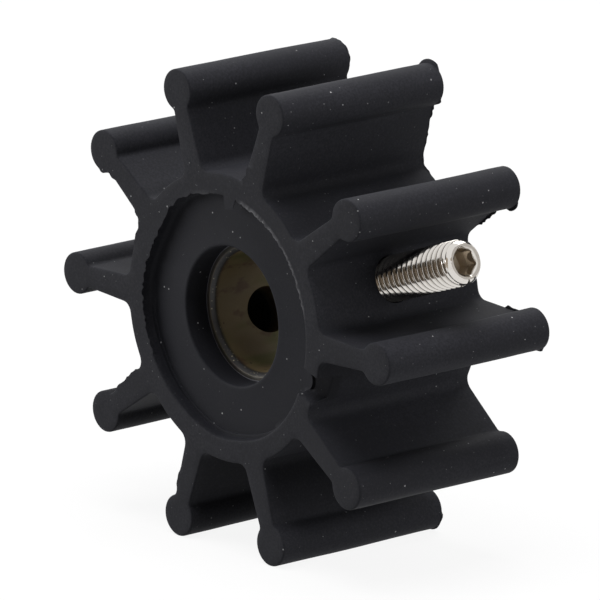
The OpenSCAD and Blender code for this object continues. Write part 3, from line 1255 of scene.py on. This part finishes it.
def rubber_material(finish):
    """Matte charcoal rubber with a grey bloom, mould streaks, scuffed edges and specks of dust, painted
    darker as shade inside the recesses and black as shadow in the cleft at the torn gate.
    """
    material, sheet, shader = new_material("black_rubber")
    grain = placed(sheet, "Surface Grain", Grain_Scale=2600.0, Mottle_Scale=95.0)
    streak = sheet.noise(sheet.place((1.0, 0.06, 1.0)), 520.0, 4.0, 0.6)
    cloud = sheet.ramp(grain["Mottle"], 0.38, 0.72)
    lines = sheet.ramp(streak, 0.45, 0.75)
    bloom = sheet.math("ADD", sheet.math("MULTIPLY", cloud, 0.36), sheet.math("MULTIPLY", lines, 0.16), True)
    mottled = sheet.noise(sheet.place(), 3200.0, 2.0, 0.7)
    speckle = sheet.math("MULTIPLY", sheet.math("SUBTRACT", mottled, 0.5), 1.7)
    bloomed = sheet.mix(sheet.math("ADD", bloom, speckle, True), finish.rubber, finish.rubber_bloom)
    sheltered = sheet.stored("sheltered")
    # Painted shade: the rubber inside the recesses and the bore is darkened
    inner = sheet.laid(bloomed, sheltered, 0.6, finish.rubber_recess_shade)
    # Torn rubber at the gate, with painted shadow in its cleft
    base = sheet.laid(inner, sheet.stored("torn"), 0.85, finish.rubber_torn_and_shade)
    worn = placed(sheet, "Edge Wear", Start=0.42, End=1.0, Patchiness=0.7, Patch_Scale=700.0)
    worn_edge = sheet.laid(base, worn["Mask"], 0.4, finish.rubber_edge)
    scuffed = sheet.mix(sheet.stored("feather"), worn_edge, finish.feather)
    fine = placed(sheet, "Dust Specks", Spacing=0.7 * MM, Size=0.07 * MM, Kept=0.3)
    open_air = sheet.scaled(sheltered, -0.25, 0.4)
    powdered = sheet.laid(scuffed, fine["Mask"], open_air, finish.dust)
    dust = placed(sheet, "Dust Specks", Spacing=1.45 * MM, Size=0.12 * MM, Kept=0.55)
    sheet.put(shader, "Base Color", sheet.mix(dust["Mask"], powdered, finish.dust))
    sheet.put(shader, "Roughness", sheet.scaled(grain["Mottle"], 0.2, 0.6))
    shader.inputs["Specular IOR Level"].default_value = 0.1
    height = sheet.math("ADD", grain["Grain"], sheet.math("MULTIPLY", streak, 0.8))
    bump(sheet, shader, height, 0.02 * MM, 0.6)
    return material


def brass_material(finish):
    """Old brass, dull olive in the bore with brown stains, pitted on its chamfers and rubbed at its edges,
    with painted shade in its cross hole and a painted highlight line at the rubber lip.
    """
    material, sheet, shader = new_material("aged_brass")
    grain = placed(sheet, "Surface Grain", Grain_Scale=1800.0, Mottle_Scale=170.0)
    stain = sheet.ramp(sheet.noise(sheet.place((1.0, 0.6, 1.0)), 260.0, 4.0, 0.6), 0.53, 0.64)
    patch = sheet.ramp(sheet.noise(sheet.place((1.0, 0.4, 1.0)), 170.0, 2.0, 0.5), 0.44, 0.56)
    two_tone = sheet.mix(patch, finish.brass, finish.brass_olive)
    base = sheet.laid(two_tone, stain, 0.8, finish.brass_stain)
    pits = placed(sheet, "Dust Specks", Spacing=1.5 * MM, Size=0.3 * MM, Kept=0.55)
    pitted = sheet.laid(base, pits["Mask"], 0.7, finish.brass_pit)
    worn = placed(sheet, "Edge Wear", Start=0.2, End=0.7, Patchiness=0.6, Patch_Scale=900.0)
    rubbed = sheet.laid(pitted, worn["Mask"], 0.5, finish.brass_bright)
    crumbs = sheet.ramp(sheet.noise(sheet.place(), 1500.0, 2.0, 0.6), 0.47, 0.55)
    dull = sheet.mix(crumbs, finish.brass_mouth, finish.grime)
    chips = placed(sheet, "Dust Specks", Spacing=0.42 * MM, Size=0.12 * MM, Kept=0.85)
    chipped = sheet.mix(chips["Mask"], dull, finish.brass_bright)
    crumbled = sheet.mix(sheet.ramp(sheet.stored("mouth"), 0.1, 0.9), rubbed, chipped)
    # Rubber film on the end faces, and painted shade deeper in the cross hole
    filmed_and_shaded = sheet.laid(crumbled, sheet.stored("grime"), 0.9, finish.grime)
    # Painted highlight: pale line on the end of the bush next to the rubber lip
    sheet.put(shader, "Base Color", sheet.mix(sheet.stored("line"), filmed_and_shaded, finish.brass_rim_highlight))
    sheet.put(shader, "Metallic", sheet.ramp(grain["Mottle"], 0.2, 0.9))
    sheet.put(shader, "Roughness", sheet.scaled(grain["Mottle"], 0.25, 0.42))
    bump(sheet, shader, grain["Grain"], 0.015 * MM, 0.5)
    return material


def steel_material(finish):
    """Bright nickel-coloured steel with a fine grain, brown film in the thread, and a rougher socket painted
    darker brown as shade.
    """
    material, sheet, shader = new_material("bright_steel")
    grain = placed(sheet, "Surface Grain", Grain_Scale=4200.0, Mottle_Scale=300.0)
    film = sheet.ramp(sheet.stored("depth"), 0.25, 0.75)
    base = sheet.laid(finish.steel, film, 0.5, finish.steel_dirt)
    worn = placed(sheet, "Edge Wear", Start=0.35, End=0.9, Patchiness=0.2, Patch_Scale=900.0)
    rubbed = sheet.laid(base, worn["Mask"], 0.25, finish.steel_rubbed)
    # Painted shade: the inside of the socket is darker brown, and rougher
    shaded = sheet.ramp(sheet.stored("socket"), 0.3, 0.8)
    sheet.put(shader, "Base Color", sheet.mix(shaded, rubbed, finish.steel_socket_shade))
    shader.inputs["Metallic"].default_value = 1.0
    rough = sheet.scaled(grain["Mottle"], 0.1, 0.08)
    sheet.put(shader, "Roughness", sheet.math("ADD", rough, sheet.math("MULTIPLY", shaded, 0.5)))
    bump(sheet, shader, grain["Grain"], 0.004 * MM, 0.4)
    return material


# Stage

# Lamps: name, and azimuth and elevation in degrees. All have the same size and distance, in metres.
LAMPS = (("front_lamp", -50, 10), ("top_lamp", 0, 85), ("side_lamp", 100, 10), ("back_lamp", -150, 45))
LAMP_SIZE = 0.6
LAMP_DISTANCE = 0.9
# Cards that show only in the metal: name, azimuth and elevation in degrees, distance, half the width and
# half the height in metres, and colour
CARDS = (
    ("dark_card", 75, 22, 0.7, 0.36, 0.36, (0.085, 0.068, 0.05)),
    ("brown_card", 0, 14, 0.2, 0.1, 0.088, (0.43, 0.365, 0.295)),
)
# Grey of the floor as it lights the wheel, its grey where it is seen, and the share of white glow there
FLOOR_LIT = (0.25, 0.25, 0.25)
FLOOR_SEEN = (0.9, 0.9, 0.9)
FLOOR_GLOW = 0.9
# Half the floor's width in metres
FLOOR_REACH = 6.0


def aimed(piece, place, target):
    """Puts a piece, a lamp or the camera at a place, looking at a target with its top upward."""
    piece.location = place
    piece.rotation_euler = (Vector(target) - Vector(place)).to_track_quat("-Z", "Y").to_euler()


def from_view(azimuth, elevation, distance):
    """Place at an azimuth and elevation round the wheel. Azimuth 0 is in front and 90 on the right."""
    level = distance * math.cos(elevation)
    return Vector((level * math.sin(azimuth), -level * math.cos(azimuth), distance * math.sin(elevation)))


def face_wheel(piece, azimuth_deg, elevation_deg, distance):
    """Puts a lamp or card round the wheel, facing its middle."""
    place = from_view(math.radians(azimuth_deg), math.radians(elevation_deg), distance)
    aimed(piece, place, (0, 0, 0))


def add_camera(t):
    """Long lens at the picture's angle."""
    camera = into_scene("camera", bpy.data.cameras.new("camera"))
    camera.data.lens = t.lens
    camera.data.sensor_width = 36.0
    camera.data.clip_end = 20.0
    aimed(camera, Vector(t.aim) + from_view(t.azimuth, t.elevation, t.distance), t.aim)
    bpy.context.scene.camera = camera


def add_lamp(name, azimuth_deg, elevation_deg, watts):
    """Soft square lamp that looks at the wheel. The one overhead doesn't show in the metal, where it
    would glare on the top of the screw."""
    lamp = into_scene(name, bpy.data.lights.new(name, "AREA"))
    lamp.data.size = LAMP_SIZE
    lamp.data.energy = watts
    lamp.visible_glossy = name != "top_lamp"
    face_wheel(lamp, azimuth_deg, elevation_deg, LAMP_DISTANCE)


def seen_mask(sheet):
    """1 for what the camera sees, itself or in a mirror or through glass."""
    path = sheet.add("ShaderNodeLightPath")
    mirrored = sheet.math("MAXIMUM", path.outputs["Is Glossy Ray"], path.outputs["Is Transmission Ray"])
    return sheet.math("MAXIMUM", path.outputs["Is Camera Ray"], mirrored)


def light_world(strength):
    """Even white surroundings, pure white where they are seen."""
    world = bpy.data.worlds.new("white_room")
    bpy.context.scene.world = world
    world.use_nodes = True
    sheet = NodeSheet(world.node_tree)
    shader = world.node_tree.nodes["Background"]
    sheet.put(shader, "Color", (1.0, 1.0, 1.0, 1.0))
    sheet.put(shader, "Strength", sheet.scaled(seen_mask(sheet), 1.0 - strength, strength))


def floor_material():
    """White floor that keeps a faint shadow and is white where it is seen unshaded."""
    material, sheet, shader = new_material("white_floor")
    seen = seen_mask(sheet)
    sheet.put(shader, "Base Color", sheet.mix(seen, FLOOR_LIT, FLOOR_SEEN))
    shader.inputs["Roughness"].default_value = 0.9
    shader.inputs["Specular IOR Level"].default_value = 0.0
    glow = sheet.add("ShaderNodeEmission", Color=(1.0, 1.0, 1.0, 1.0), Strength=1.0)
    mixed = sheet.add("ShaderNodeMixShader")
    sheet.put(mixed, 0, sheet.math("MULTIPLY", seen, FLOOR_GLOW))
    sheet.put(mixed, 1, shader.outputs[0])
    sheet.put(mixed, 2, glow.outputs[0])
    sheet.put(material.node_tree.nodes["Material Output"], "Surface", mixed.outputs[0])
    return material


def flat_piece(name, wide, high, z):
    """Flat rectangle at a height, from half its width and half its length."""
    corners = [(-wide, -high, z), (wide, -high, z), (wide, high, z), (-wide, high, z)]
    return new_piece(name, corners, [(0, 1, 2, 3)])


def add_card(name, azimuth_deg, elevation_deg, distance, wide, high, tint):
    """Card that shows only in the metal and gives the screw its darker bands."""
    material, sheet, _ = new_material(name)
    glow = sheet.add("ShaderNodeEmission", Color=(*tint, 1.0), Strength=1.0)
    sheet.put(material.node_tree.nodes["Material Output"], "Surface", glow.outputs[0])
    card = flat_piece(name, wide, high, 0.0)
    face_wheel(card, azimuth_deg, elevation_deg, distance)
    for ray in ("camera", "diffuse", "shadow", "transmission", "volume_scatter"):
        setattr(card, "visible_" + ray, False)
    cover(card, material)


def add_floor():
    """Plain floor under the wheel."""
    floor = flat_piece("floor", FLOOR_REACH, FLOOR_REACH, CAD_LOW.z)
    cover(floor, floor_material())


class IMPELLER_OT_stage(bpy.types.Operator):
    """Sets the camera, the lamps, the white surroundings and the floor"""

    bl_idname = "impeller.stage"
    bl_label = "Stage"

    def execute(self, context):
        t = context.scene.impeller_stage
        context.scene.view_settings.view_transform = "Standard"
        add_camera(t)
        light_world(t.sky)
        for name, azimuth_deg, elevation_deg in LAMPS:
            add_lamp(name, azimuth_deg, elevation_deg, getattr(t, name))
        for card in CARDS:
            add_card(*card)
        add_floor()
        return {"FINISHED"}


class IMPELLER_PT_parts(bpy.types.Panel):
    """Buttons for the pieces, with their sizes and colours"""

    bl_idname = "IMPELLER_PT_parts"
    bl_label = "Pump Impeller"
    bl_space_type = "VIEW_3D"
    bl_region_type = "UI"
    bl_category = "Impeller"

    def draw(self, context):
        scene = context.scene
        groups = (
            ("impeller.wheel", scene.impeller_wheel),
            ("impeller.bush", scene.impeller_bush),
            ("impeller.screw", scene.impeller_screw),
            ("impeller.stage", scene.impeller_stage),
            (None, scene.impeller_finish),
        )
        for operator, settings in groups:
            box = self.layout.box()
            if operator:
                box.operator(operator)
            for name in settings.__annotations__:
                box.prop(settings, name)


SETTINGS = {
    "impeller_wheel": WheelSettings,
    "impeller_bush": BushSettings,
    "impeller_screw": ScrewSettings,
    "impeller_finish": FinishSettings,
    "impeller_stage": StageSettings,
}
OPERATORS = (IMPELLER_OT_wheel, IMPELLER_OT_bush, IMPELLER_OT_screw, IMPELLER_OT_stage)


def register():
    """Makes the settings, operators and panel known to Blender."""
    for name, group in SETTINGS.items():
        bpy.utils.register_class(group)
        setattr(bpy.types.Scene, name, PointerProperty(type=group))
    for operator in OPERATORS:
        bpy.utils.register_class(operator)
    bpy.utils.register_class(IMPELLER_PT_parts)


def unregister():
    """Takes everything out again."""
    bpy.utils.unregister_class(IMPELLER_PT_parts)
    for operator in reversed(OPERATORS):
        bpy.utils.unregister_class(operator)
    for name, group in SETTINGS.items():
        delattr(bpy.types.Scene, name)
        bpy.utils.unregister_class(group)


def main():
    """Builds every piece and the stage."""
    register()
    bpy.ops.impeller.wheel()
    bpy.ops.impeller.bush()
    bpy.ops.impeller.screw()
    bpy.ops.impeller.stage()


if __name__ == "__main__":
    main()
